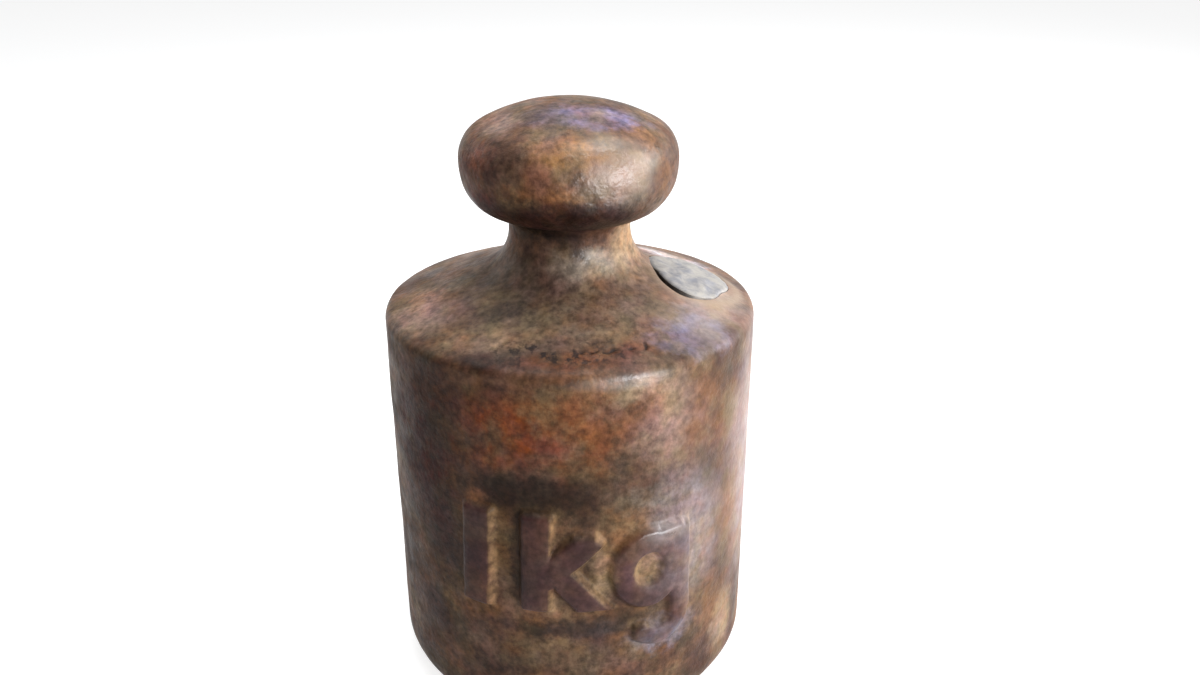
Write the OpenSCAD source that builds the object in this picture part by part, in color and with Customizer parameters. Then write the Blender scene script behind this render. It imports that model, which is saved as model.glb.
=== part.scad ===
// Cast-iron scale weight of one kilogram with a lifting knob.
// An adjusting cavity is sunk square into the sloping shoulder. It holds lead shot,
// and is closed by an iron disc on a ledge and a lead plug driven in over the disc.
// Millimetres, +Z up, origin at the centre of the base.

/* [Body] */
// Diameter of the body
body_d = 52.7; // [46:0.1:60]
// Height of the corner where the side and the shoulder would meet if it were sharp
body_h = 56.6; // [48:0.1:64]
// Radius of the rounded edge round the base
base_edge_r = 5.6; // [2:0.1:8]
// Radius of the rounded edge between the side and the shoulder
shoulder_edge_r = 1.5; // [0.6:0.1:3]
// Slope of the shoulder up to the neck, in degrees
shoulder_slope = 20; // [12:1:26]

/* [Neck] */
// Diameter of the neck at its waist
neck_d = 17; // [14:0.5:20]
// Radius of the hollow curve from the shoulder up to the neck
neck_foot_r = 6.6; // [5:0.1:9]
// Length of the straight waist
waist_h = 0.5; // [0.2:0.1:4]
// Radius of the hollow curve from the neck out to the underside of the knob
neck_top_r = 2; // [1:0.1:2.4]

/* [Knob] */
// Largest diameter of the knob
knob_d = 30.2; // [28:0.1:36]
// Height of the knob below its widest ring
knob_lower_h = 7.7; // [7:0.1:8]
// Height of the knob above its widest ring
knob_upper_h = 7.6; // [7:0.1:8]
// Radius of the swelling flank of the knob, seen in section
flank_r = 12.7; // [12:0.1:14]
// Radius of the knob's lower edge
lower_edge_r = 6; // [5.4:0.1:6.6]
// Radius of the knob's upper edge
upper_edge_r = 5; // [4:0.1:5.4]
// Radius of the domed crown
crown_r = 26.2; // [22:0.1:40]

/* [Adjusting cavity] */
// Distance of the mouth's middle outside the line midway between neck and side
mouth_shift = -0.1; // [-0.8:0.1:0.8]
// Turn of the mouth about the weight's axis, in degrees
mouth_turn = -3; // [-180:1:180]
// Diameter of the mouth, which the plug fills
mouth_d = 12.5; // [11:0.1:13]
// Depth of the mouth, from the shoulder to the ledge
mouth_depth = 5.8; // [5:0.1:8]
// Diameter of the cavity below the ledge
cavity_d = 9; // [8:0.1:10]
// Depth of the cavity, from the ledge to the shoulder of its conical end
cavity_depth = 24; // [20:0.5:28]
// Angle of the conical end left by the drill, in degrees
drill_point = 118; // [90:1:140]
// Depth of the groove that keys the plug
groove_depth = 0.7; // [0.3:0.1:1]
// Width of the keying groove
groove_w = 1.2; // [0.8:0.1:1.6]
// Distance from the shoulder down to the top of the keying groove
groove_drop = 1.8; // [1.2:0.1:2]

/* [Plug, disc and shot] */
// Height of the plug's domed face above its rim
plug_dome = 0.5; // [0.2:0.1:1]
// Gap between the driven lead and the walls of the mouth
plug_fit = 0.02; // [0.01:0.01:0.05]
// Thickness of the closing disc
disc_t = 1.5; // [1:0.1:1.8]
// Gap round the closing disc
disc_fit = 0.15; // [0.1:0.05:0.4]
// Diameter of the gripping hole in the closing disc
grip_hole_d = 2; // [1.5:0.1:3]
// Diameter of one lead pellet
shot_d = 3.5; // [3.3:0.1:3.7]
// Rings of pellets in the cavity
shot_rings = 6; // [3:1:7]
// Gap between pellets, and between a pellet and the wall
shot_fit = 0.04; // [0.02:0.01:0.06]

/* [Hidden] */
$fn = 96;
// Largest turn of one step along a curve in section
arc_step = 3;
// How far a cut runs past the face that it opens
cut_over = 4;
// How far two cuts run into each other
cut_lap = 0.5;

body_r = body_d / 2;
neck_r = neck_d / 2;
knob_r = knob_d / 2;
mouth_r = mouth_d / 2;
cavity_r = cavity_d / 2;
shot_r = shot_d / 2;
mouth_offset = (neck_r + body_r) / 2 + mouth_shift;

iron = [0.37, 0.26, 0.21];
lead = [0.72, 0.72, 0.74];
plain_iron = [0.48, 0.46, 0.45];
dull_lead = [0.44, 0.46, 0.50];

// Outline of the casting, as centres of arcs in section, from the base up
base_edge_c = [body_r - base_edge_r, base_edge_r];
shoulder_edge_c = [
    body_r - shoulder_edge_r,
    body_h - shoulder_edge_r * tan(45 - shoulder_slope / 2)
];
neck_foot_c = [
    neck_r + neck_foot_r,
    shoulder_z(neck_r + neck_foot_r) + neck_foot_r / cos(shoulder_slope)
];
waist_top = neck_foot_c[1] + waist_h;

// The knob is placed from its lower edge, which the upper hollow curve of the neck touches
flank_x = knob_r - flank_r;
lower_edge_drop = knob_lower_h - lower_edge_r;
lower_edge_x = flank_x + leg(flank_r - lower_edge_r, lower_edge_drop);
neck_top_c = [neck_r + neck_top_r, waist_top];
lower_edge_c = [
    lower_edge_x,
    waist_top + leg(neck_top_r + lower_edge_r, lower_edge_x - neck_top_c[0])
];
flank_c = [flank_x, lower_edge_c[1] + lower_edge_drop];
total_h = flank_c[1] + knob_upper_h;
crown_c = [0, total_h - crown_r];
upper_edge_c = right_meeting(crown_c, crown_r - upper_edge_r, flank_c, flank_r - upper_edge_r);

// Pellets stand in rings against the wall, each ring turned by half a pitch
shot_ring_r = cavity_r - shot_r - shot_fit;
shot_per_ring = floor(180 / asin((shot_d + shot_fit) / (2 * shot_ring_r)));
shot_ring_rise = leg(shot_d + shot_fit, 2 * shot_ring_r * sin(90 / shot_per_ring));
cone_rise = 90 - drill_point / 2;
cavity_end = -mouth_depth - cavity_depth;
first_ring_z = cavity_end - (cavity_r - shot_ring_r) * tan(cone_rise)
    + (shot_r + shot_fit) / cos(cone_rise);
shot_count = shot_rings * shot_per_ring;

// Height of the sloping shoulder at a distance from the axis
function shoulder_z(r) = body_h + (body_r - r) * tan(shoulder_slope);

// Other leg of a right triangle
function leg(long_side, side) = sqrt(long_side * long_side - side * side);

// Direction from one point to another, in degrees
function bearing(from, to) = atan2(to[1] - from[1], to[0] - from[0]);

// The right-hand point that lies r_a from a and r_b from b
function right_meeting(a, r_a, b, r_b) =
    let (
        d = norm(b - a),
        along = (d * d + r_a * r_a - r_b * r_b) / (2 * d),
        up = (b - a) / d
    )
    a + along * up + leg(r_a, along) * [up[1], -up[0]];

// Points along an arc, without its first point where it goes on from the last one
function arc(centre, r, from, to, goes_on = false) =
    let (steps = ceil(abs(to - from) / arc_step))
    [
        for (i = [(goes_on ? 1 : 0) : steps])
            centre + r * [cos(from + (to - from) * i / steps), sin(from + (to - from) * i / steps)]
    ];

// Section of the casting on one side of its axis
function casting_section() = concat(
    [[0, 0]],
    arc(base_edge_c, base_edge_r, -90, 0),
    arc(shoulder_edge_c, shoulder_edge_r, 0, 90 - shoulder_slope),
    arc(neck_foot_c, neck_foot_r, 270 - shoulder_slope, 180),
    arc(neck_top_c, neck_top_r, 180, bearing(neck_top_c, lower_edge_c)),
    arc(
        lower_edge_c, lower_edge_r,
        bearing(lower_edge_c, neck_top_c), bearing(flank_c, lower_edge_c), true
    ),
    arc(flank_c, flank_r, bearing(flank_c, lower_edge_c), bearing(flank_c, upper_edge_c), true),
    arc(
        upper_edge_c, upper_edge_r,
        bearing(flank_c, upper_edge_c), bearing(crown_c, upper_edge_c), true
    ),
    arc(crown_c, crown_r, bearing(crown_c, upper_edge_c), 90, true)
);

// Moves a shape to the mouth, with +Z standing square out of the shoulder
module at_mouth() {
    rotate([0, 0, mouth_turn])
        translate([mouth_offset, 0, shoulder_z(mouth_offset)])
            rotate([0, shoulder_slope, 0])
                children();
}

// Stepped bore with a keying groove and a drilled end
module cavity_cut() {
    translate([0, 0, -mouth_depth])
        cylinder(h = mouth_depth + cut_over, r = mouth_r);
    translate([0, 0, -groove_drop - groove_w])
        cylinder(h = groove_w, r = mouth_r + groove_depth);
    rotate_extrude()
        polygon([
            [0, cavity_end - cavity_r * tan(cone_rise)],
            [cavity_r, cavity_end],
            [cavity_r, -mouth_depth + cut_lap],
            [0, -mouth_depth + cut_lap]
        ]);
}

// One-piece casting: body, shoulder, neck and knob, with the adjusting cavity
module casting() {
    color(iron)
        difference() {
            rotate_extrude()
                polygon(casting_section());
            at_mouth()
                cavity_cut();
        }
}

// Loose disc on the ledge, lifted by its middle hole when the weight is adjusted
module closing_disc() {
    color(plain_iron)
        at_mouth()
            translate([0, 0, -mouth_depth])
                difference() {
                    cylinder(h = disc_t, r = mouth_r - disc_fit);
                    translate([0, 0, -cut_over])
                        cylinder(h = disc_t + 2 * cut_over, d = grip_hole_d);
                }
}

// Lead driven into the mouth and its groove, with a low domed face
module lead_plug() {
    plug_r = mouth_r - plug_fit;
    face_r = (plug_r * plug_r + plug_dome * plug_dome) / (2 * plug_dome);
    foot = -mouth_depth + disc_t + plug_fit;
    color(lead)
        at_mouth() {
            intersection() {
                translate([0, 0, foot])
                    cylinder(h = plug_dome - foot, r = plug_r);
                translate([0, 0, plug_dome - face_r])
                    sphere(r = face_r);
            }
            translate([0, 0, -groove_drop - groove_w + plug_fit])
                cylinder(h = groove_w - 2 * plug_fit, r = plug_r + groove_depth);
        }
}

// One pellet of lead shot, counted from the bottom ring up
module lead_shot(index) {
    ring = floor((index - 1) / shot_per_ring);
    place = (index - 1) % shot_per_ring;
    turn = (place + (ring % 2) / 2) * 360 / shot_per_ring;
    color(dull_lead)
        at_mouth()
            rotate([0, 0, turn])
                translate([shot_ring_r, 0, first_ring_z + ring * shot_ring_rise])
                    sphere(r = shot_r);
}

casting();
closing_disc();
lead_plug();
for (i = [1 : shot_count]) {
    lead_shot(i);
}
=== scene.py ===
"""An old cast-iron knob weight of one kilogram, with a lead plug driven into its shoulder, in a plain studio.

The pieces are built in millimetres and brought to metres at the end. +Z is up, the origin is at the
centre of the base, and the mass mark faces -Y.
"""
import logging
import math
from dataclasses import dataclass
from enum import Enum

import bmesh
import bpy
from mathutils import Matrix, Vector, noise


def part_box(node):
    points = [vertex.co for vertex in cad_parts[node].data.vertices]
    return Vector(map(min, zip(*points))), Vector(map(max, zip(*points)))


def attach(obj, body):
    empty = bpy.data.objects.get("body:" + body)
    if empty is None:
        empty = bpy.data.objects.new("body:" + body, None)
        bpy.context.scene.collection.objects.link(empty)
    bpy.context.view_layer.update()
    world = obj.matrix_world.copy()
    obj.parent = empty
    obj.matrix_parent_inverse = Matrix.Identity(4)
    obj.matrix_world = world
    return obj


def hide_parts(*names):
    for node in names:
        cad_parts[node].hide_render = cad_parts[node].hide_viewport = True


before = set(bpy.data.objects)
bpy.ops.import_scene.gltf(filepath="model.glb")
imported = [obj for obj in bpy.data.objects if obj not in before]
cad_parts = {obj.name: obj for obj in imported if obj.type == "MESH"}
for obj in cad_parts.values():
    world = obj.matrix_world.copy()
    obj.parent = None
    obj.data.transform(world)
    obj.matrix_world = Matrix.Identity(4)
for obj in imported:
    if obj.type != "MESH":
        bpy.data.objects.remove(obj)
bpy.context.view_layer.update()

MM = 0.001
UP = Vector((0.0, 0.0, 1.0))
WHITE = (1.0, 1.0, 1.0, 1.0)

Colour = tuple[float, float, float, float]
Triple = tuple[float, float, float]
Socket = bpy.types.NodeSocket
Feed = Socket | float | Colour | Triple

log = logging.getLogger("knob_weight")


class Slot(Enum):
    """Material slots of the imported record."""

    RUSTED_IRON = "rusted_iron"
    DRIVEN_LEAD = "driven_lead"
    DISC_IRON = "disc_iron"
    SHOT_LEAD = "shot_lead"


class Trace(Enum):
    """Marks kept on a piece's points, which its finish reads."""

    FACE = "mark_face"
    # Rust at the foot of the mass mark, mostly on its lit slopes, partly painted light.
    FOOT_RUST_AND_LIGHT = "mark_foot_rust_and_light"
    # Grime and painted shade in the crevice, the bore and the gap round the plug.
    GRIME_AND_SHADE = "grime_and_shade"
    # The mouth's lip: bare iron, with a painted highlight on its side towards the key light.
    LIP = "mouth_lip"


def srgb(red: int, green: int, blue: int) -> Colour:
    """Turns a colour as a screen writes it into the linear one that a shader takes.

    Args:
        red: Red, from 0 to 255.
        green: Green, from 0 to 255.
        blue: Blue, from 0 to 255.

    Returns:
        The linear colour with an alpha of 1.
    """
    linear = []
    for value in (red / 255, green / 255, blue / 255):
        if value <= 0.04045:
            linear.append(value / 12.92)
        else:
            linear.append(((value + 0.055) / 1.055) ** 2.4)
    return (linear[0], linear[1], linear[2], 1.0)


def ease(value: float, low: float, high: float) -> float:
    """Gives a share that rises smoothly from 0 at low to 1 at high, which may lie below low."""
    share = min(max((value - low) / (high - low), 0.0), 1.0)
    return share * share * (3 - 2 * share)


def bell(away: float, width: float) -> float:
    """Gives 1 in the middle of a bell curve, falling to 0 on both sides."""
    return math.exp(-((away / width) ** 2))


def leg(long_side: float, side: float) -> float:
    """Gives the other leg of a right triangle."""
    return math.sqrt(long_side * long_side - side * side)


def polar(angle: float) -> Vector:
    """Gives the unit vector at an angle from +X towards +Z, in the section's plane."""
    return Vector((math.cos(angle), 0.0, math.sin(angle)))


def bearing(start: Vector, end: Vector) -> float:
    """Gives the angle at which one point of a section sees another."""
    return math.atan2(end.z - start.z, end.x - start.x)


def off_way(angle: float, way: float) -> float:
    """Gives how many degrees an angle in radians lies off a way in degrees, from -180 to 180."""
    return (math.degrees(angle) - way + 180) % 360 - 180


@dataclass(frozen=True)
class Ripple:
    """Smooth noise, with the width and height of its swells in millimetres and a seed of its own."""

    size: float
    seed: float
    height: float = 1.0

    def at(self, place: Vector) -> float:
        """Gives the noise at a point, from about minus to plus its height."""
        shift = Vector((self.seed, -self.seed, 2 * self.seed))
        return self.height * noise.noise(place / self.size + shift)


class Pen:
    """Draws a chain of edges in the XZ plane, from which a turned shape is spun."""

    def __init__(self, radius: float, height: float, heading: float = 0.0) -> None:
        """Sets the pen down.

        Args:
            radius: Distance of the first point from the axis.
            height: Height of the first point.
            heading: Direction in which the chain sets out, from +X towards +Z.
        """
        self.mesh = bmesh.new()
        self.tip = self.mesh.verts.new((radius, 0.0, height))
        self.heading = heading

    def step(self) -> list[bmesh.types.BMVert]:
        """Draws an edge of no length, and gives its new end, which the next move carries on."""
        self.tip = bmesh.ops.extrude_vert_indiv(self.mesh, verts=[self.tip])["verts"][0]
        return [self.tip]

    def advance(self, length: float, pitch: float) -> None:
        """Draws straight on.

        Args:
            length: How far to go.
            pitch: Greatest length of one edge.
        """
        steps = max(1, math.ceil(length / pitch))
        for _ in range(steps):
            bmesh.ops.translate(self.mesh, verts=self.step(), vec=polar(self.heading) * length / steps)

    def bend(self, radius: float, turn: float, pitch: float) -> None:
        """Draws an arc that goes on smoothly from the last edge.

        Args:
            radius: Radius of the arc.
            turn: Angle that the arc turns through, positive to the left.
            pitch: Greatest length of one edge.
        """
        centre = self.tip.co + polar(self.heading + math.copysign(math.pi / 2, turn)) * radius
        steps = max(3, math.ceil(abs(turn) * radius / pitch))
        turned = Matrix.Rotation(-turn / steps, 3, "Y")
        for _ in range(steps):
            bmesh.ops.rotate(self.mesh, verts=self.step(), cent=centre, matrix=turned)
        self.heading += turn

    def line_to(self, radius: float, height: float, pitch: float) -> None:
        """Draws a straight line to a point.

        Args:
            radius: Distance of the point from the axis.
            height: Height of the point.
            pitch: Greatest length of one edge.
        """
        goal = Vector((radius, 0.0, height))
        self.heading = bearing(self.tip.co, goal)
        self.advance((goal - self.tip.co).length, pitch)

    def turned(self, columns: int) -> bmesh.types.BMesh:
        """Spins the chain once round the Z axis and closes the poles.

        Args:
            columns: Steps in the full turn.

        Returns:
            The closed shape, with its faces pointing outwards.
        """
        chain = self.mesh.verts[:] + self.mesh.edges[:]
        round_turn = 2 * math.pi
        bmesh.ops.spin(self.mesh, geom=chain, axis=UP, angle=round_turn, steps=columns, use_merge=True)
        bmesh.ops.remove_doubles(self.mesh, verts=self.mesh.verts[:], dist=0.002)
        bmesh.ops.recalc_face_normals(self.mesh, faces=self.mesh.faces[:])
        return self.mesh


def placed(name: str, data: bpy.types.ID) -> bpy.types.Object:
    """Makes an object of its data and adds it to the scene.

    Args:
        name: Name of the new object.
        data: A mesh, a lamp's data or a camera's.

    Returns:
        The new object, at the origin and unturned.
    """
    thing = bpy.data.objects.new(name, data)
    bpy.context.scene.collection.objects.link(thing)
    return thing


def meshed(name: str, shape: bmesh.types.BMesh) -> bpy.types.Object:
    """Makes an object of a shape and adds it to the scene.

    Args:
        name: Name of the new object.
        shape: The shape. It is freed.

    Returns:
        The new object, at the origin and unturned.
    """
    data = bpy.data.meshes.new(name)
    shape.to_mesh(data)
    shape.free()
    return placed(name, data)


def finished(shape: bmesh.types.BMesh, name: str, crease: float) -> bpy.types.Object:
    """Brings a shape to metres and makes it an object of the scene.

    Args:
        shape: The shape, in millimetres. It is freed.
        name: Name of the new object.
        crease: Angle past which an edge stays sharp to the eye.

    Returns:
        The new object, at the origin and unturned.
    """
    bmesh.ops.scale(shape, vec=(MM, MM, MM), verts=shape.verts[:])
    for face in shape.faces:
        face.smooth = True
    for edge in shape.edges:
        edge.smooth = edge.calc_face_angle(0.0) < crease
    return meshed(name, shape)


def cut(shape: bmesh.types.BMesh, tool: bmesh.types.BMesh) -> bmesh.types.BMesh:
    """Takes one closed shape out of another.

    Args:
        shape: The shape that is cut. It is freed.
        tool: The shape that is taken out. It is freed.

    Returns:
        What is left.
    """
    blank = meshed("blank", shape)
    cutter = meshed("cutter", tool)
    bore = blank.modifiers.new("bore", "BOOLEAN")
    bore.operation = "DIFFERENCE"
    bore.solver = "EXACT"
    bore.object = cutter
    left = bmesh.new()
    left.from_object(blank, bpy.context.evaluated_depsgraph_get())
    for piece in (blank, cutter):
        data = piece.data
        bpy.data.objects.remove(piece)
        bpy.data.meshes.remove(data)
    return left


@dataclass(frozen=True)
class Bar:
    """A straight stroke of the mass mark, drawn flat: x runs across the front and y up the body.

    It may be cut off level at a lowest and a highest height.
    """

    start: tuple[float, float]
    end: tuple[float, float]
    half_width: float
    low: float = -math.inf
    high: float = math.inf
    corner: float = 0.5

    def distance(self, across: float, up: float) -> float:
        """Measures how far a point lies outside the stroke.

        Args:
            across: The point's place across the front.
            up: The point's height.

        Returns:
            The distance in millimetres, below 0 inside the stroke.
        """
        start = Vector(self.start)
        along = Vector(self.end) - start
        offset = Vector((across, up)) - start - along / 2
        side = abs(offset.cross(along.normalized())) - self.half_width + self.corner
        ahead = abs(offset.dot(along.normalized())) - along.length / 2 + self.corner
        outside = math.hypot(max(side, 0.0), max(ahead, 0.0))
        away = outside + min(max(side, ahead), 0.0) - self.corner
        return max(away, self.low - up, up - self.high)


@dataclass(frozen=True)
class Bow:
    """A curved stroke of the mass mark: part of a ring, stretched upwards, between two angles."""

    centre: tuple[float, float]
    radius: float
    half_width: float
    first: float = -180.0
    last: float = 180.0
    stretch: float = 1.0

    def distance(self, across: float, up: float) -> float:
        """Measures how far a point lies outside the stroke.

        Args:
            across: The point's place across the front.
            up: The point's height.

        Returns:
            The distance in millimetres, below 0 inside the stroke.
        """
        offset = Vector((across, up)) - Vector(self.centre)
        offset.y /= self.stretch
        angle = math.degrees(math.atan2(offset.y, offset.x))
        if self.first <= angle <= self.last:
            return abs(offset.length - self.radius) - self.half_width
        ends = []
        for end in (math.radians(self.first), math.radians(self.last)):
            tip = Vector((math.cos(end), math.sin(end))) * self.radius
            ends.append((offset - tip).length)
        return min(ends) - self.half_width


@dataclass(frozen=True)
class MassMark:
    """The raised mark of the mass, a plain figure and the letters of its unit."""

    relief: float = 1.05
    slope: float = 0.5
    swell: float = 0.2
    rust_reach: float = 0.75
    front: float = -10.0
    heights: tuple[float, float] = (8.0, 44.0)
    skin: float = 0.5
    wander: tuple[Ripple, Ripple] = (Ripple(2.5, 1, 0.12), Ripple(2.5, 5, 0.12))
    # These two find the side of a stroke that faces +X, towards the key light.
    lit_side_step: float = 0.4
    lit_side_rise: float = 0.35
    figure: tuple[Bar, ...] = (Bar((-12.8, 37.0), (-13.5, 21.5), 2.2),)
    first_letter: tuple[Bar, ...] = (
        Bar((-4.7, 36.9), (-5.05, 21.8), 2.1),
        Bar((-4.5, 26.6), (2.9, 33.72), 1.95, high=33.6),
        Bar((-2.6, 28.6), (4.0, 20.4), 1.9, low=21.9),
    )
    second_letter: tuple[Bar | Bow, ...] = (
        Bow((10.3, 27.4), 3.7, 1.65, stretch=1.16),
        Bar((10.6, 32.3), (15.5, 32.5), 1.0),
        Bar((14.75, 33.1), (15.05, 19.0), 1.7),
        Bow((11.7, 19.3), 3.3, 1.5, -132.0, 6.0),
    )

    def distance(self, across: float, up: float) -> float:
        """Measures how far a point of the front lies outside every stroke, below 0 inside one."""
        strokes = self.figure + self.first_letter + self.second_letter
        return min(stroke.distance(across, up) for stroke in strokes)

    def rise(self, away: float) -> float:
        """Gives the mark's height at a distance outside its strokes: a sloping edge and a swelling face."""
        edge = ease(away, self.slope, -self.slope)
        return self.relief * edge + self.swell * ease(away, 0.0, -3 * self.slope)

    def read(self, place: Vector, radius: float, body_radius: float) -> Triple:
        """Reads the mark at a point of the casting.

        Args:
            place: The point.
            radius: Its distance from the axis.
            body_radius: Radius of the body.

        Returns:
            How far the mark raises the point, and how much it belongs to a face and to the foot of one; the
            face reaches onto the shaded left slopes as painted shade, and the foot lies mostly on the lit
            right slopes, partly painted light.
        """
        aside = place.y > self.front or radius < body_radius - self.skin
        if aside or not self.heights[0] < place.z < self.heights[1]:
            return 0.0, 0.0, 0.0
        across = math.atan2(place.x, -place.y) * body_radius
        flat = Vector((across, 0.0, place.z))
        across += self.wander[0].at(flat)
        up = place.z + self.wander[1].at(flat)
        away = self.distance(across, up)
        if away > 3 * self.rust_reach:
            return 0.0, 0.0, 0.0
        # The side of a stroke facing +X is the one towards the key light. The face colour reaches onto the
        # shaded left slopes as painted shade, and the tan rust of the foot lies mostly on the lit slopes,
        # partly painted light.
        lit_side = ease(self.distance(across + self.lit_side_step, up) - away, 0.0, self.lit_side_rise)
        face = ease(away, 0.25 - 0.5 * lit_side, -self.slope - 0.1 * lit_side)
        foot = bell(away - self.slope - 0.2 + 0.6 * lit_side, self.rust_reach) * (0.25 + 0.75 * lit_side)
        return self.rise(away), face, foot * (1 - face)


@dataclass(frozen=True)
class Crevice:
    """A thin crevice along the front of the shoulder, through points given by an angle and a radius."""

    path: tuple[tuple[float, float], ...] = (
        (3.1, 22.2), (6.6, 22.4), (9.0, 22.2), (11.1, 22.5), (14.1, 22.1), (17.0, 21.8),
        (19.3, 22.3), (21.6, 22.8), (23.8, 23.2), (25.2, 22.6), (25.3, 21.9),
    )
    width: float = 0.38
    least_width: float = 0.05
    depth: float = 0.26
    # How dark the crevice is painted: grime and painted shade.
    grime_and_shade: float = 0.9
    ring: tuple[float, float] = (17.0, 25.0)
    margin: float = 2.0
    ragged: Ripple = Ripple(1.8, 13, 0.9)
    broken: Ripple = Ripple(0.9, 17)

    def share(self, place: Vector, radius: float) -> float:
        """Reads the crevice at a point of the shoulder.

        Args:
            place: The point.
            radius: Its distance from the axis.

        Returns:
            The share of its depth that the crevice has there.
        """
        angle = math.degrees(math.atan2(place.x, -place.y))
        near = self.path[0][0] - self.margin < angle < self.path[-1][0] + self.margin
        if not near or not self.ring[0] < radius < self.ring[1]:
            return 0.0
        here = Vector((math.radians(angle) * radius, radius))
        points = [Vector((math.radians(turn) * out, out)) for turn, out in self.path]
        nearest = math.inf
        for first, second in zip(points, points[1:]):
            along = second - first
            part = min(max((here - first).dot(along) / along.length_squared, 0.0), 1.0)
            nearest = min(nearest, (here - first - along * part).length)
        width = max(self.width * (0.8 + self.ragged.at(place)), self.least_width)
        return bell(nearest, width) * ease(self.broken.at(place), -0.25, 0.1)


@dataclass(frozen=True)
class Dent:
    """A round hollow pressed into a surface."""

    place: Triple
    reach: float
    depth: float

    def push(self, place: Vector) -> float:
        """Gives how far the hollow pushes a point in, in millimetres."""
        share = min((place - Vector(self.place)).length / self.reach, 1.0)
        return self.depth * (1 - share * share) ** 2


@dataclass(frozen=True)
class Mouth:
    """The stepped bore sunk square into the shoulder, keyed by a groove and closed by the plug."""

    offset: float = 17.325
    turn: float = math.radians(-3.0)
    radius: float = 6.25
    depth: float = 5.8
    flare: float = 0.06
    flare_depth: float = 1.1
    groove_drop: float = 1.8
    groove_width: float = 1.2
    groove_depth: float = 0.7
    cavity_radius: float = 4.5
    cavity_depth: float = 24.0
    drill_point: float = math.radians(118.0)
    overrun: float = 4.0
    pitch: float = 0.8
    columns: int = 144
    bulges: tuple[Triple, ...] = (
        (95.0, 40.0, 0.07),
        (155.0, 18.0, 0.12),
        (205.0, 20.0, -0.1),
        (264.0, 24.0, 0.12),
        (335.0, 32.0, -0.23),
    )
    gap: float = 0.62
    least_gap: float = 0.03
    gap_way: float = 220.0
    gap_reach: float = 52.0

    def outline(self, angle: float) -> float:
        """Gives the share of the true radius, about 1, that the hammered edge reaches.

        Args:
            angle: Direction from the middle of the mouth, in its own frame.

        Returns:
            The share.
        """
        share = 1.0
        for middle, width, height in self.bulges:
            share += height * bell(off_way(angle, middle), width)
        return share

    def openness(self, angle: float) -> float:
        """Gives how far the gap between lead and iron opens, up to 1 on the side of the neck's front."""
        return max(1 - (off_way(angle, self.gap_way) / self.gap_reach) ** 2, 0.0)

    def frame(self, height: float, slope: float) -> Matrix:
        """Gives the place of the bore.

        Args:
            height: Height of the shoulder at the bore's middle.
            slope: Slope of the shoulder.

        Returns:
            The matrix from the bore's own frame, whose +Z stands out of the shoulder, to the weight's.
        """
        turned = Matrix.Rotation(self.turn, 4, "Z")
        moved = Matrix.Translation((self.offset, 0.0, height))
        return turned @ moved @ Matrix.Rotation(slope, 4, "Y")

    def tool(self) -> bmesh.types.BMesh:
        """Builds the shape that the bore takes out of the casting.

        Returns:
            The closed shape in the bore's own frame.
        """
        flared = self.radius + self.flare
        keyed = self.radius + self.groove_depth
        groove_end = -self.groove_drop - self.groove_width
        end = -self.depth - self.cavity_depth
        pen = Pen(0.0, self.overrun)
        for radius, height in (
            (flared, self.overrun),
            (flared, -self.flare_depth / 2),
            (self.radius, -self.flare_depth),
            (self.radius, -self.groove_drop),
            (keyed, -self.groove_drop),
            (keyed, groove_end),
            (self.radius, groove_end),
            (self.radius, -self.depth),
            (self.cavity_radius, -self.depth),
            (self.cavity_radius, end),
            (0.0, end - self.cavity_radius / math.tan(self.drill_point / 2)),
        ):
            pen.line_to(radius, height, self.pitch)
        shape = pen.turned(self.columns)
        for point in shape.verts:
            angle = math.atan2(point.co.y, point.co.x)
            raised = ease(point.co.z, -self.groove_drop, -self.flare_depth)
            gap = self.least_gap + self.gap * self.openness(angle)
            wide = 1 + (self.outline(angle) - 1 + gap / self.radius) * raised
            point.co.x *= wide
            point.co.y *= wide
        return shape


@dataclass(frozen=True)
class Spot:
    """A soft round place on the casting, with its middle and half sizes in millimetres."""

    centre: Triple
    reach: Triple
    strength: float


@dataclass(frozen=True)
class Bloom(Spot):
    """A place with a colour of its own, with a finely ragged edge where it is small: mostly a patch of the
    patina, in some places painted shade, a painted highlight or a painted reflection.
    """

    colour: Colour
    fine: bool = False


@dataclass(frozen=True)
class Cloud:
    """Noise whose patches have a size in millimetres, stretched from low and high to start and end."""

    size: float
    detail: float
    seed: float
    low: float
    high: float
    start: float = 0.0
    end: float = 1.0


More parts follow.
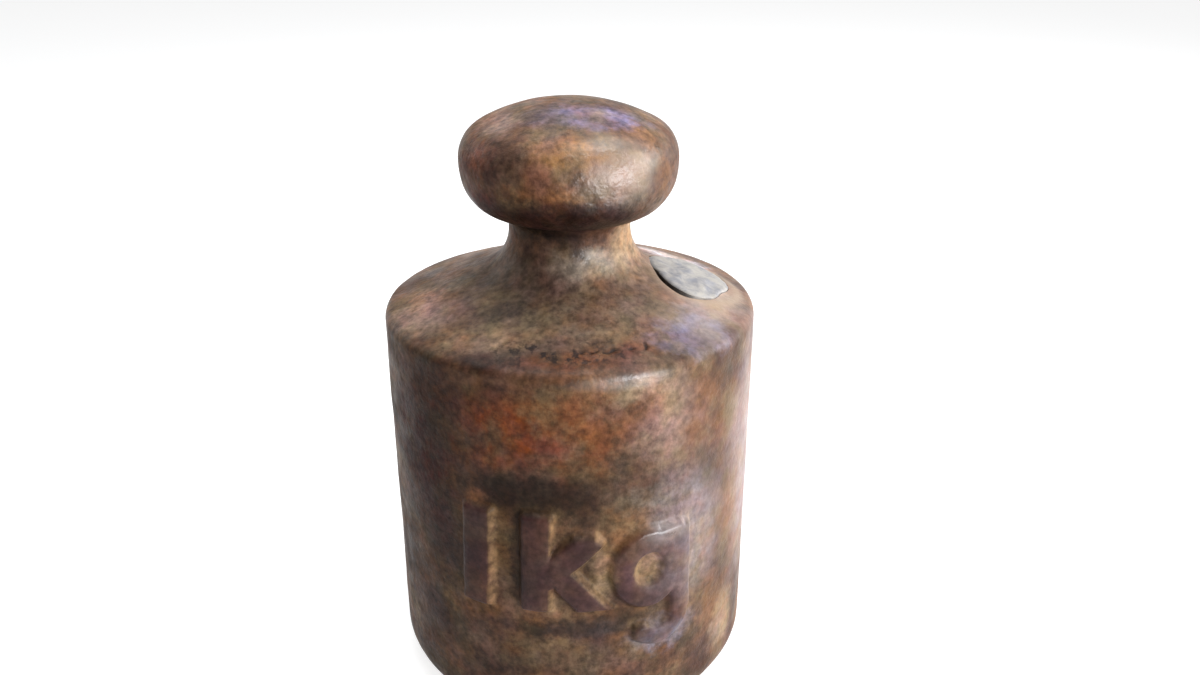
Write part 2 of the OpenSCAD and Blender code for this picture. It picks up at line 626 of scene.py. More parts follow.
class Nodes:
    """A node tree, with a method for each kind of node that the finishes and the studio use."""

    def __init__(self, tree: bpy.types.NodeTree, place: str) -> None:
        """Takes up a tree, whose patterns lie on the coordinates of that name."""
        self.tree = tree
        self.place: Socket = self.add("TexCoord", {}).outputs[place]

    def add(self, kind: str, sockets: dict[str | int, Feed], **options: str) -> bpy.types.Node:
        """Adds a node.

        Args:
            kind: The node's type, without the word for shader nodes before it.
            sockets: What goes into its sockets, by their names or numbers.
            options: The ways of working that it has by name.

        Returns:
            The node.
        """
        node = self.tree.nodes.new(f"ShaderNode{kind}")
        for name, option in options.items():
            setattr(node, name, option)
        for key, value in sockets.items():
            self.feed(node.inputs[key], value)
        return node

    def feed(self, socket: Socket, value: Feed) -> None:
        """Links a socket to another one, or writes a value on it.

        Args:
            socket: The socket that is set.
            value: Another node's output, or a plain value.
        """
        if isinstance(value, Socket):
            self.tree.links.new(value, socket)
        else:
            socket.default_value = value

    def reckon(self, kind: str, first: Socket | float, second: Socket | float) -> Socket:
        """Reckons with two values, by an operation such as SUBTRACT or MAXIMUM."""
        return self.add("Math", {0: first, 1: second}, operation=kind).outputs["Value"]

    def plus(self, first: Socket | float, second: Socket | float) -> Socket:
        """Adds two values."""
        return self.reckon("ADD", first, second)

    def times(self, first: Socket | float, second: Socket | float) -> Socket:
        """Multiplies two values."""
        return self.reckon("MULTIPLY", first, second)

    def vectors(self, kind: str, *values: Feed) -> bpy.types.Node:
        """Reckons with vectors, by an operation such as LENGTH or DOT_PRODUCT."""
        return self.add("VectorMath", dict(enumerate(values)), operation=kind)

    def span(self, value: Socket, low: float, high: float, start: float = 0.0, end: float = 1.0) -> Socket:
        """Stretches values from low to high smoothly over those from start to end."""
        sockets = {"Value": value, "From Min": low, "From Max": high, "To Min": start, "To Max": end}
        return self.add("MapRange", sockets, interpolation_type="SMOOTHSTEP").outputs["Result"]

    def paint(self, share: Socket, under: Feed, over: Feed, how: str = "MIX") -> Socket:
        """Lays one colour over another.

        Args:
            share: How much of the upper colour shows, from 0 to 1.
            under: The lower colour.
            over: The upper colour.
            how: How the two meet, such as MIX or COLOR.

        Returns:
            The result.
        """
        node = self.add("Mix", {"Factor": share}, data_type="RGBA", blend_type=how)
        lower, upper = [socket for socket in node.inputs if socket.type == "RGBA"]
        self.feed(lower, under)
        self.feed(upper, over)
        return next(socket for socket in node.outputs if socket.type == "RGBA")


class Sheet(Nodes):
    """A material's node tree, whose patterns lie on the piece's own coordinates."""

    # Share of a spot's reach that has its full strength
    core: float = 0.25

    def __init__(self, name: str) -> None:
        """Opens a new material under a name."""
        self.material = bpy.data.materials.new(name)
        self.material.use_nodes = True
        super().__init__(self.material.node_tree, "Object")
        self.shader = self.tree.nodes["Principled BSDF"]

    def coated(self, looks: dict[str, Feed]) -> bpy.types.Material:
        """Sets the shader's own sockets by their names.

        Args:
            looks: What goes into each socket.

        Returns:
            The material.
        """
        for name, value in looks.items():
            self.feed(self.shader.inputs[name], value)
        return self.material

    def grain(self, size: float, detail: float, seed: float, warp: float = 0.0) -> Socket:
        """Adds noise.

        Args:
            size: Width of its patches, in millimetres.
            detail: How many finer layers it has.
            seed: Picks the pattern.
            warp: How much the pattern is drawn out of shape.

        Returns:
            The noise, from 0 to 1.
        """
        sockets = {"Vector": self.place, "W": seed, "Scale": 1 / (size * MM), "Detail": detail}
        sockets.update({"Roughness": 0.6, "Distortion": warp})
        return self.add("TexNoise", sockets, noise_dimensions="4D").outputs["Fac"]

    def cloud(self, cloud: Cloud) -> Socket:
        """Adds noise that is stretched over a range of values."""
        patches = self.grain(cloud.size, cloud.detail, cloud.seed)
        return self.span(patches, cloud.low, cloud.high, cloud.start, cloud.end)

    def cells(self, size: float) -> Socket:
        """Gives the distance from the middle of the nearest round cell, from 0 to about 1."""
        sockets = {"Vector": self.place, "Scale": 1 / (size * MM), "Randomness": 1.0}
        return self.add("TexVoronoi", sockets).outputs["Distance"]

    def trace(self, name: Trace) -> Socket:
        """Reads a mark kept on the piece's points, from 0 to 1."""
        return self.add("Attribute", {}, attribute_name=name.value).outputs["Fac"]

    def spot(self, place: Socket, where: Spot) -> Socket:
        """Measures how strongly a soft spot holds at a point.

        Args:
            place: The coordinates, in metres.
            where: The spot.

        Returns:
            The spot's strength round its middle, falling smoothly to 0 at its reach.
        """
        frame_of_spot = {
            "Vector": place,
            "Location": [value * MM for value in where.centre],
            "Scale": [value * MM for value in where.reach],
        }
        offset = self.add("Mapping", frame_of_spot, vector_type="TEXTURE").outputs["Vector"]
        away = self.vectors("LENGTH", offset).outputs["Value"]
        return self.span(away, 1.0, self.core, 0.0, where.strength)

    def frayed(self, size: float, reach: float) -> Socket:
        """Gives the piece's own coordinates, pushed about so that what is drawn on them has ragged edges.

        Args:
            size: Width of the pushes, in millimetres.
            reach: How far they push, in millimetres.

        Returns:
            The coordinates, in metres.
        """
        sockets = {"Vector": self.place, "Scale": 1 / (size * MM), "Detail": 4.0, "Roughness": 0.7}
        wild = self.add("TexNoise", sockets).outputs["Color"]
        centred = self.vectors("SUBTRACT", wild, (0.5, 0.5, 0.5)).outputs["Vector"]
        push = (2 * reach * MM,) * 3
        return self.vectors("MULTIPLY_ADD", centred, push, self.place).outputs["Vector"]

    def relief(self, height: Socket, depth: float, strength: float, under: Socket | None = None) -> Socket:
        """Turns a height into a bumped normal.

        Args:
            height: The height, from 0 to 1.
            depth: What a height of 1 means, in millimetres.
            strength: Share of the effect.
            under: A normal that this one builds on.

        Returns:
            The normal.
        """
        sockets = {"Distance": depth * MM, "Strength": strength, "Height": height}
        if under is not None:
            sockets["Normal"] = under
        return self.add("Bump", sockets).outputs["Normal"]


@dataclass(frozen=True)
class RustedIron:
    """Old cast iron, handled smooth: brown rust under a thin waxy skin, mottled from ochre to black, with
    painted shade, painted highlights and painted reflections laid into its colour in places.
    """

    brown: Colour = srgb(112, 80, 54)
    umber: Colour = srgb(66, 46, 38)
    soot: Colour = srgb(34, 25, 24)
    # Grime and painted shade in the crevice and the bore.
    grime_and_shade: Colour = srgb(26, 18, 16)
    face: Colour = srgb(60, 36, 46)
    # Tan rust at the letters' foot, partly painted light on their lit slopes.
    foot: Colour = srgb(146, 116, 80)
    # The mouth's lip: bare iron, with a painted highlight.
    lip: Colour = srgb(146, 124, 103)
    ground: Cloud = Cloud(8, 3, 1, 0.3, 0.7)
    hues: tuple[tuple[Colour, Cloud], ...] = (
        (srgb(146, 96, 50), Cloud(5, 5, 2, 0.42, 0.66, 0, 0.5)),
        (srgb(108, 64, 52), Cloud(4, 5, 3, 0.42, 0.66, 0, 0.25)),
        (srgb(104, 92, 68), Cloud(4.5, 5, 4, 0.42, 0.66, 0, 0.5)),
        (srgb(98, 76, 86), Cloud(5.5, 5, 5, 0.42, 0.66, 0, 0.2)),
    )
    rusting: Cloud = Cloud(2.5, 4, 6, 0.35, 0.6)
    pepper: Cloud = Cloud(1.6, 3, 7, 0.55, 0.9, 0, 0.7)
    grit: Cloud = Cloud(1.5, 4, 31, 0.5, 0.6)
    fine_mottle: Cloud = Cloud(1, 3, 8, 0.2, 0.8, 0.45, 1.55)
    broad_mottle: Cloud = Cloud(3, 2, 9, 0.2, 0.8, 0.68, 1.36)
    dry: Cloud = Cloud(3.5, 4, 21, 0.35, 0.7, -0.08, 0.14)
    face_share: float = 0.42
    foot_rust_and_light_share: float = 0.4
    face_pepper: float = 0.6
    face_mottle: float = 0.7
    face_grain: float = 0.4
    smoother: float = -0.1
    roughness: float = 0.48
    shine: float = 0.14
    wide_fray: tuple[float, float] = (4.0, 3.0)
    fine_fray: tuple[float, float] = (1.6, 1.0)
    # Patches of the patina; the ones noted below are painted shade, painted highlights or painted
    # reflections, wholly or in part.
    blooms_and_painted_light: tuple[Bloom, ...] = (
        Bloom((0, -8, 61), (30, 26, 7), 0.7, srgb(110, 92, 76)),
        Bloom((-6.5, -25.6, 48), (18.5, 9, 8.2), 0.92, srgb(110, 49, 10)),
        # Partly painted shade: the body's upper left, away from the key light, is darkened.
        Bloom((-19.5, -17.5, 42), (8, 12, 20), 0.93, srgb(60, 19, 16)),
        Bloom((4.5, -25.8, 50.5), (8, 6, 6), 0.6, srgb(120, 76, 48)),
        Bloom((-5, -25.5, 39.6), (17, 8, 5.4), 0.85, srgb(26, 15, 12)),
        Bloom((9.7, -24.5, 38), (8, 6, 2.8), 0.8, srgb(96, 88, 76)),
        # Partly painted light: paler patina on the right of the front, towards the key light.
        Bloom((13, -23, 48), (7, 7, 9), 0.85, srgb(132, 108, 98)),
        Bloom((10, -24, 54), (10, 5, 2.8), 0.8, srgb(146, 120, 99)),
        # Partly painted reflection: the right side paler and greyer where it faces the light.
        Bloom((25, -7, 36), (9, 14, 26), 0.85, srgb(140, 124, 121)),
        # Partly painted light: paler, greyer patina on the right of the mark.
        Bloom((15.5, -21, 30), (10, 9, 15), 0.85, srgb(134, 126, 129)),
        Bloom((4, -26, 27.8), (2.8, 4, 5.4), 0.9, srgb(142, 116, 80), True),
        # Painted shade on the left side of the second letter's bowl, away from the light.
        Bloom((7, -25.4, 27.6), (1.9, 3, 6), 0.75, srgb(76, 54, 56), True),
        Bloom((9.9, -24.4, 27.3), (2.8, 4, 3.6), 0.9, srgb(138, 116, 82), True),
        Bloom((-9.2, -24.7, 29), (1.9, 4, 10), 0.75, srgb(106, 82, 50), True),
        Bloom((-4.9, -25.9, 29.5), (3.4, 4, 9.5), 0.65, srgb(56, 38, 36), True),
        # Painted shade on the left slope of the first letter's stem.
        Bloom((-7.4, -25.3, 30), (1.7, 3, 9), 0.75, srgb(42, 29, 26), True),
        # Partly painted shade: darker low on the body's left side, away from the key light.
        Bloom((-17.6, -19.6, 29), (4.5, 6, 11), 0.7, srgb(62, 43, 42)),
        Bloom((-12.7, -23.1, 38.1), (2.2, 2.5, 1.3), 0.6, srgb(138, 90, 60), True),
        Bloom((-12, -23.4, 14.5), (10, 7, 5), 0.85, srgb(102, 74, 52)),
        Bloom((1, -26.3, 13.5), (10, 7, 4), 0.8, srgb(92, 74, 58)),
        Bloom((0.3, -26.3, 18.6), (14, 8, 2.4), 0.85, srgb(56, 50, 48)),
        Bloom((12.5, -23.4, 15.5), (7, 6, 4), 0.85, srgb(108, 122, 146)),
        Bloom((21.9, -14.6, 11.4), (4, 5, 6.5), 0.85, srgb(142, 124, 100)),
        # Partly painted reflection of the bright surround, on the left back of the shoulder.
        Bloom((-19.5, -8.9, 58.4), (7, 9, 4), 0.85, srgb(148, 120, 106)),
        Bloom((-11.4, -18.5, 58.2), (8, 5, 3), 0.85, srgb(134, 110, 83)),
        Bloom((-8.4, -13.5, 60.4), (4.4, 4.2, 2.8), 0.6, srgb(56, 48, 46)),
        Bloom((-0.5, -16, 60.4), (8, 4.5, 3), 0.8, srgb(94, 80, 66)),
        # Painted reflection: a blue-grey sheen on the right front of the shoulder.
        Bloom((17, -15, 57.9), (9, 8, 3), 0.85, srgb(124, 118, 132)),
        # Painted reflection: a blue-violet sheen on the front of the shoulder's right.
        Bloom((14.5, -18.2, 57.8), (7, 3.6, 2.3), 0.85, srgb(98, 95, 119)),
        # Partly painted reflection: paler patina round the plug on the right of the shoulder.
        Bloom((19, -4, 59), (9, 12, 4), 0.9, srgb(154, 138, 128)),
        # Painted reflection: the shoulder behind the plug near white, as the bright surround at a glancing
        # angle.
        Bloom((15, 8, 60.5), (11, 5, 3.5), 0.85, srgb(198, 196, 206)),
        Bloom((-12, -22.8, 57.1), (9, 4, 1.8), 0.92, srgb(50, 26, 18), True),
        Bloom((-1, -23.8, 57.5), (11, 2.8, 2), 0.9, srgb(84, 44, 22), True),
        Bloom((6.5, -21.6, 58), (7, 3, 1.8), 0.9, srgb(92, 48, 26), True),
        # Painted shade under the knob, on the front and left of the neck's top.
        Bloom((-3.2, -7.9, 70.2), (8.2, 6, 3.6), 0.95, srgb(16, 11, 10)),
        # Partly painted highlight on the neck's foot.
        Bloom((2.5, -8.5, 64.8), (7, 5, 2.8), 0.85, srgb(140, 128, 110)),
        # Painted light: the neck's right side paler, towards the key light.
        Bloom((8.5, -4, 67), (5, 9, 6), 0.85, srgb(157, 133, 103)),
        Bloom((0.4, -13.5, 81), (9, 5, 3.6), 0.9, srgb(138, 98, 46)),
        Bloom((-3.5, -14.2, 76.2), (8, 5, 4.5), 0.8, srgb(130, 84, 50)),
        # Partly painted shade: darker low on the knob's left.
        Bloom((-11.5, -9.5, 74.5), (4.5, 6, 5), 0.75, srgb(80, 38, 33)),
        # Painted highlight on the front right of the knob.
        Bloom((7, -13.2, 78.5), (7.5, 5, 5), 0.75, srgb(142, 118, 100)),
        # Painted reflection: a blue band on the knob's top.
        Bloom((3.5, -6, 84.2), (12, 5, 2.8), 0.85, srgb(104, 102, 136)),
        Bloom((-9.5, -4, 83.4), (5, 7, 3), 0.8, srgb(138, 118, 110)),
        Bloom((-12.5, -8.5, 77.8), (4.5, 8, 6), 0.85, srgb(110, 47, 33)),
        Bloom((14, -4, 78), (4.5, 9, 7), 0.85, srgb(84, 54, 36)),
        # Painted shade on the lower front of the knob.
        Bloom((0, -13.4, 74), (13, 5, 3), 0.72, srgb(58, 24, 21)),
        # Painted shade: the knob's underside near black.
        Bloom((0, -11, 72.6), (15, 9, 4.2), 0.94, srgb(35, 12, 11)),
    )
    polish: tuple[Spot, ...] = (
        Spot((5.5, -13, 78.5), (9.5, 9, 6.5), 0.75),
        Spot((8, -25.4, 55.4), (12, 3.6, 1.5), 1),
        Spot((18, -3, 58.6), (13, 16, 4.5), 0.6),
        Spot((25.5, -5, 36), (7, 14, 28), 0.3),
        Spot((2.5, -8.5, 64.8), (6, 5, 3), 0.5),
        Spot((12, -24, 32.4), (5, 4, 2.2), 0.8),
    )
    specks: Bloom = Bloom((-1, -22.2, 57.9), (17, 4, 2.6), 0.9, srgb(26, 15, 12))
    # Calm spots on the lit right side and on the knob's highlight take out soot and mottling, which lightens
    # them: partly painted light.
    calm: tuple[Spot, ...] = (
        Spot((26, -10, 38), (26, 26, 60), 0.7),
        Spot((7, -13, 78.5), (9, 6, 6), 0.75),
    )
    faded: Spot = Spot((19, -18.5, 22), (8, 9, 16), 0.85)
    hide: Spot = Spot((2.5, -13.6, 75), (14, 8, 5), 1)

    def material(self) -> bpy.types.Material:
        """Builds the finish.

        Returns:
            The material.
        """
        sheet = Sheet("rusted_iron")
        face = sheet.trace(Trace.FACE)
        shine: Socket | float = self.shine
        rough = sheet.plus(sheet.cloud(self.dry), sheet.times(face, self.smoother))
        rough = sheet.plus(rough, self.roughness)
        for worn in self.polish:
            share = sheet.spot(sheet.place, worn)
            shine = sheet.plus(share, shine)
            rough = sheet.plus(sheet.times(share, self.smoother), rough)
        return sheet.coated({
            "Base Color": self.colours(sheet, face),
            "Specular IOR Level": shine,
            "Roughness": rough,
            "Normal": self.skin(sheet, face),
        })

    def colours(self, sheet: Sheet, face: Socket) -> Socket:
        """Lays the colours of the patina, with the painted shade, highlights and reflections among them, over
        each other.

        Args:
            sheet: The material's nodes.
            face: Where the mass mark has its smooth faces.

        Returns:
            The colour.
        """
        colour = sheet.paint(sheet.cloud(self.ground), self.brown, self.umber)
        wide = sheet.frayed(*self.wide_fray)
        narrow = sheet.frayed(*self.fine_fray)
        for bloom in self.blooms_and_painted_light:
            colour = sheet.paint(sheet.spot(narrow if bloom.fine else wide, bloom), colour, bloom.colour)
        for tint, cloud in self.hues:
            colour = sheet.paint(sheet.cloud(cloud), colour, tint, "COLOR")
        clear = sheet.reckon("SUBTRACT", 1.0, sheet.spot(sheet.place, self.faded))
        smooth = sheet.times(sheet.span(face, 0.1, 1.0, 0.0, self.face_share), clear)
        colour = sheet.paint(smooth, colour, self.face)
        # Rust at the letters' foot, mostly on their lit slopes, where it is partly painted light.
        rusty = sheet.times(sheet.trace(Trace.FOOT_RUST_AND_LIGHT), sheet.cloud(self.rusting))
        colour = sheet.paint(sheet.times(rusty, self.foot_rust_and_light_share), colour, self.foot)
        # Soot and mottling are taken out on the lit right side and the knob's highlight, partly painted
        # light.
        loud: Socket | float = 1.0
        for calm in self.calm:
            loud = sheet.reckon("SUBTRACT", loud, sheet.spot(sheet.place, calm))
        pepper = sheet.times(sheet.cloud(self.pepper), sheet.span(face, 0.0, 1.0, 1.0, self.face_pepper))
        colour = sheet.paint(sheet.times(pepper, loud), colour, self.soot)
        specks = sheet.times(sheet.spot(wide, self.specks), sheet.cloud(self.grit))
        colour = sheet.paint(specks, colour, self.specks.colour)
        mottle = sheet.times(sheet.cloud(self.fine_mottle), sheet.cloud(self.broad_mottle))
        mottle = sheet.times(sheet.reckon("SUBTRACT", mottle, 1.0), loud)
        mottle = sheet.times(mottle, sheet.span(face, 0.0, 1.0, 1.0, self.face_mottle))
        scaling = {0: colour, "Scale": sheet.plus(mottle, 1.0)}
        colour = sheet.add("VectorMath", scaling, operation="SCALE").outputs["Vector"]
        # The mouth's lip: bare iron with a painted highlight.
        colour = sheet.paint(sheet.trace(Trace.LIP), colour, self.lip)
        # Grime and painted shade in the crevice, the bore and the plug's gap.
        return sheet.paint(sheet.trace(Trace.GRIME_AND_SHADE), colour, self.grime_and_shade)

    def skin(self, sheet: Sheet, face: Socket) -> Socket:
        """Builds the fine unevenness of the cast skin.

        Args:
            sheet: The material's nodes.
            face: Where the mass mark has its smooth faces.

        Returns:
            The normal.
        """
        coarse = sheet.relief(sheet.grain(2.2, 3, seed=11), depth=0.35, strength=0.2)
        pitted = sheet.relief(sheet.span(sheet.cells(1.7), 0, 0.28), depth=0.1, strength=0.35, under=coarse)
        leather = sheet.times(sheet.grain(0.8, 3, seed=12), sheet.span(face, 0, 1, 1, self.face_grain))
        leathery = sheet.relief(leather, depth=0.2, strength=0.6, under=pitted)
        creases = sheet.times(sheet.grain(1.4, 2, seed=13), sheet.spot(sheet.place, self.hide))
        return sheet.relief(creases, depth=0.45, strength=0.8, under=leathery)


@dataclass(frozen=True)
class DullMetal:
    """Bare or dull metal, clouded by age."""

    name: str
    bright: Colour
    clouded: Colour
    metallic: float
    roughness: float
    cloud_size: float
    bump: float
    rougher: float = 0.18
    grime_and_shade: Colour = srgb(38, 30, 26)

    def material(self) -> bpy.types.Material:
        """Builds the finish.

        Returns:
            The material.
        """
        sheet = Sheet(self.name)
        clouds = sheet.span(sheet.grain(self.cloud_size, 5, seed=1, warp=0.4), low=0.35, high=0.68)
        colour = sheet.paint(clouds, self.bright, self.clouded)
        grain = sheet.grain(self.cloud_size / 3, 4, seed=2)
        # Where a piece's points are marked, such as the plug's edge over the gap, grime and painted shade
        # darken it.
        return sheet.coated({
            "Base Color": sheet.paint(sheet.trace(Trace.GRIME_AND_SHADE), colour, self.grime_and_shade),
            "Metallic": self.metallic,
            "Roughness": sheet.plus(sheet.times(clouds, self.rougher), self.roughness),
            "Normal": sheet.relief(grain, self.bump, strength=0.5),
        })


@dataclass(frozen=True)
class Block:
    """A box in which the casting's faces are divided more finely."""

    centre: Triple
    half: Triple

    def holds(self, place: Vector) -> bool:
        """Tells whether a point lies in the box."""
        return all(abs(place[axis] - self.centre[axis]) < self.half[axis] for axis in range(3))


@dataclass
class Casting:
    """The one-piece casting: body, shoulder, neck and knob, with the mass mark and the bored mouth."""

    body_radius: float
    height: float
    mouth: Mouth
    mark: MassMark
    crevice: Crevice
    corner_height: float = 56.6
    base_edge: float = 5.6
    shoulder_edge: float = 1.5
    slope: float = math.radians(20.0)
    neck_radius: float = 8.5
    neck_foot: float = 6.6
    waist: float = 0.5
    neck_top: float = 2.0
    knob_radius: float = 15.1
    knob_lower: float = 7.7
    knob_upper: float = 7.6
    lower_edge: float = 6.0
    flank: float = 12.7
    upper_edge: float = 5.0
    crown: float = 26.2
    pitch: float = 0.65
    foot_pitch: float = 2.4
    columns: int = 256
    fine_blocks: tuple[Block, ...] = (
        Block((0.8, -26.4, 25.5), (18.6, 9.0, 13.2)),
        Block((6.0, -20.5, 57.5), (9.0, 3.5, 4.0)),
        Block((4.5, -14.2, 77.0), (5.0, 4.0, 2.4)),
    )
    mouth_block: float = 8.6
    bore_margin: float = 1.2
    bore_drop: float = 0.12
    bore_grime_and_shade: float = 0.9
    swells: tuple[Ripple, ...] = (Ripple(11, 3, 0.1), Ripple(4.2, 7, 0.045))
    grain: Ripple = Ripple(1.6, 9, 0.016)
    still_foot: tuple[float, float] = (0.4, 3.0)
    lip_height: float = 0.12
    lip_offset: float = 0.7
    lip_width: float = 0.9
    lip_reach_down: float = -1.5
    lip_bare: float = 0.35
    # The lip's painted highlight, on its side towards the key light.
    lip_painted_highlight: float = 0.45
    lip_highlight_turns: tuple[float, float] = (-4.0, 7.0)
    dents: tuple[Dent, ...] = (
        Dent((-9.8, -3.6, 83.4), 5.0, 0.35),
        Dent((5.1, -14.1, 76.1), 1.2, 0.18),
        Dent((6.8, -13.2, 75.8), 1.4, 0.14),
        Dent((3.0, -14.6, 75.4), 1.1, 0.14),
        Dent((1.3, -15.0, 77.0), 1.2, 0.14),
    )

    def shoulder_height(self, radius: float) -> float:
        """Gives the height of the sloping shoulder at a distance from the axis."""
        return self.corner_height + (self.body_radius - radius) * math.tan(self.slope)

    def mouth_frame(self) -> Matrix:
        """Gives the matrix from the mouth's own frame to the weight's."""
        return self.mouth.frame(self.shoulder_height(self.mouth.offset), self.slope)

    def section(self) -> Pen:
        """Draws the section of the casting from the middle of the base up to the crown.

        Returns:
            The pen with the finished chain.
        """
        edge_radius = self.body_radius - self.shoulder_edge
        edge_height = self.corner_height - self.shoulder_edge * math.tan(math.pi / 4 - self.slope / 2)
        cone_start = edge_radius + self.shoulder_edge * math.sin(self.slope)
        cone_end = self.neck_radius + self.neck_foot * (1 - math.sin(self.slope))
        knob = Vector((self.knob_radius - self.flank, 0.0, self.height - self.knob_upper))
        drop = self.knob_lower - self.lower_edge
        low = knob + Vector((leg(self.flank - self.lower_edge, drop), 0.0, -drop))
        hollow = math.acos((low.x - self.neck_radius - self.neck_top) / (self.neck_top + self.lower_edge))
        crown = Vector((0.0, 0.0, self.height - self.crown))
        high = self.upper_centre(crown, knob)
        stops = (
            hollow - math.pi,
            bearing(knob, low),
            bearing(knob, high),
            bearing(crown, high),
            math.pi / 2,
        )
        pen = Pen(0.0, 0.0)
        pen.advance(self.body_radius - self.base_edge, self.foot_pitch)
        pen.bend(self.base_edge, math.pi / 2, self.pitch)
        pen.advance(edge_height - self.base_edge, self.pitch)
        pen.bend(self.shoulder_edge, math.pi / 2 - self.slope, self.pitch / 2)
        pen.advance((cone_start - cone_end) / math.cos(self.slope), self.pitch)
        pen.bend(self.neck_foot, self.slope - math.pi / 2, self.pitch)
        pen.advance(self.waist, self.pitch)
        pen.bend(self.neck_top, hollow - math.pi, self.pitch / 2)
        arcs = (self.lower_edge, self.flank, self.upper_edge, self.crown)
        for radius, start, end in zip(arcs, stops, stops[1:]):
            pen.bend(radius, end - start, self.pitch)
        return pen

    def upper_centre(self, crown: Vector, knob: Vector) -> Vector:
        """Finds the centre of the knob's upper edge, which touches the crown and the flank from inside.

        Args:
            crown: Centre of the crown's arc.
            knob: Centre of the flank's arc.

        Returns:
            The centre of the upper edge's arc.
        """
        to_crown = self.crown - self.upper_edge
        to_knob = self.flank - self.upper_edge
        apart = (knob - crown).length
        along = (apart * apart + to_crown * to_crown - to_knob * to_knob) / (2 * apart)
        way = (knob - crown) / apart
        return crown + way * along + Vector((way.z, 0.0, -way.x)) * leg(to_crown, along)

    def refine(self, shape: bmesh.types.BMesh) -> None:
        """Divides the faces more finely where the casting has small forms.

        Args:
            shape: The turned casting.
        """
        centre = tuple(self.mouth_frame().translation)
        blocks = (*self.fine_blocks, Block(centre, (self.mouth_block,) * 3))
        fine = []
        for face in shape.faces:
            middle = face.calc_center_median()
            if any(block.holds(middle) for block in blocks):
                fine.append(face)
        edges = list(dict.fromkeys(edge for face in fine for edge in face.edges))
        bmesh.ops.subdivide_edges(shape, edges=edges, cuts=2, use_grid_fill=True, smooth=0.0)

    def sculpt(self, shape: bmesh.types.BMesh) -> None:
        """Moves the skin off the plain turned form and marks its points for the finish.

        Args:
            shape: The bored casting.
        """
        layers = {trace: shape.verts.layers.float.new(trace.value) for trace in Trace}
        to_mouth = self.mouth_frame().inverted()
        shape.normal_update()
        moves = []
        for point in shape.verts:
            place = point.co.copy()
            local = to_mouth @ place
            radius = math.hypot(place.x, place.y)
            off_axis = math.hypot(local.x, local.y)
            bored = off_axis < self.mouth.radius + self.bore_margin and self.mouth.overrun > local.z
            # The bore's walls below the shoulder get grime and painted shade.
            if bored and place.z < self.shoulder_height(radius) - self.bore_drop:
                point[layers[Trace.GRIME_AND_SHADE]] = self.bore_grime_and_shade
                continue
            rise, face, foot = self.mark.read(place, radius, self.body_radius)
            crack = self.crevice.share(place, radius) if place.z >= self.corner_height else 0.0
            swell = sum(ripple.at(place) for ripple in self.swells) + self.grain.at(place) * (1 - face)
            swell *= ease(place.z, *self.still_foot)
            dent = sum(hollow.push(place) for hollow in self.dents)
            lip = bell(off_axis - self.mouth.radius - self.lip_offset, self.lip_width)
            lip = lip if local.z > self.lip_reach_down else 0.0
            point[layers[Trace.FACE]] = face
            point[layers[Trace.FOOT_RUST_AND_LIGHT]] = foot
            # The crevice gets grime and painted shade.
            point[layers[Trace.GRIME_AND_SHADE]] = self.crevice.grime_and_shade * crack
            # The lip is bare iron, with a painted highlight on its side towards the key light.
            bare_and_highlight = self.lip_bare + self.lip_painted_highlight * ease(local.x - local.y, *self.lip_highlight_turns)
            point[layers[Trace.LIP]] = lip * bare_and_highlight
            height = swell + rise - self.crevice.depth * crack - dent + self.lip_height * lip
            moves.append((point, point.normal * height))
        for point, move in moves:
            point.co += move

    def build(self) -> bpy.types.Object:
        """Builds the casting.

        Returns:
            The finished piece.
        """
        shape = self.section().turned(self.columns)
        self.refine(shape)
        tool = self.mouth.tool()
        bmesh.ops.transform(tool, matrix=self.mouth_frame(), verts=tool.verts[:])
        shape = cut(shape, tool)
        self.sculpt(shape)
        return finished(shape, "iron_casting", math.radians(50))

    def dress(self, piece: bpy.types.Object, finish: RustedIron) -> None:
        """Gives the casting its finish and its place in the frame.

        Args:
            piece: The casting.
            finish: Its finish.
        """
        piece.data.materials.append(finish.material())
        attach(piece, "root")
        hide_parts("casting")


